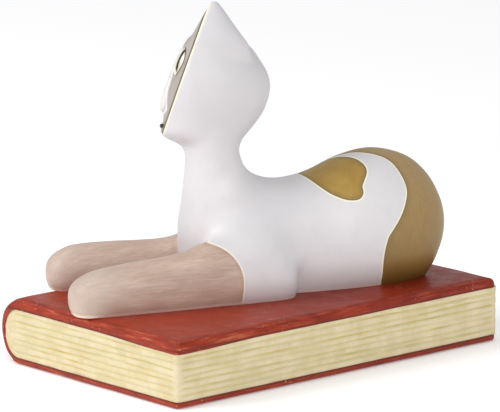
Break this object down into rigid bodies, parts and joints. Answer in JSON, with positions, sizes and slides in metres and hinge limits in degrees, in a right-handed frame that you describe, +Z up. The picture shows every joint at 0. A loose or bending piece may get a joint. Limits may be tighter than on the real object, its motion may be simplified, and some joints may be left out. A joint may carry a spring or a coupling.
{
  "type": "ceramic cat figurine",
  "caption": "Glazed ceramic cat lying upright on a closed book, forelegs stretched forward, head turned a little; a shelf ornament that rests on its flat felt underside.",
  "frame": {"origin": "middle of the felt underside, on the surface the figurine stands on", "axes": "+Z up; +Y along the book toward the cat's tail end; +X from the book's spine toward its fore-edge"},
  "size_m": [0.116, 0.186, 0.1519],
  "materials": {
    "white_glaze": "satin white glaze with painted ochre and brown patches",
    "face_glaze": "hand-painted warm grey, satin",
    "nose_glaze": "satin white",
    "eye_glaze": "gloss, painted slit pupil and dark outline",
    "mouth_paint": "black gloss",
    "leg_glaze": "brushed taupe, satin",
    "tail_glaze": "brushed golden brown, satin",
    "cover_glaze": "brick red with lighter brushed edges, satin",
    "pages_glaze": "cream with ochre wash in the grooves, satin",
    "felt": "pressed felt"
  },
  "bodies": {
    "root": {"cat_body": "white_glaze", "head": "white_glaze", "face_plate": "face_glaze", "nose_bridge": "nose_glaze", "left_eye": "eye_glaze", "right_eye": "eye_glaze", "mouth": "mouth_paint", "left_foreleg": "leg_glaze", "right_foreleg": "leg_glaze", "tail": "tail_glaze", "book_cover": "cover_glaze", "page_block": "pages_glaze", "felt_base": "felt"}
  },
  "joints": []
}
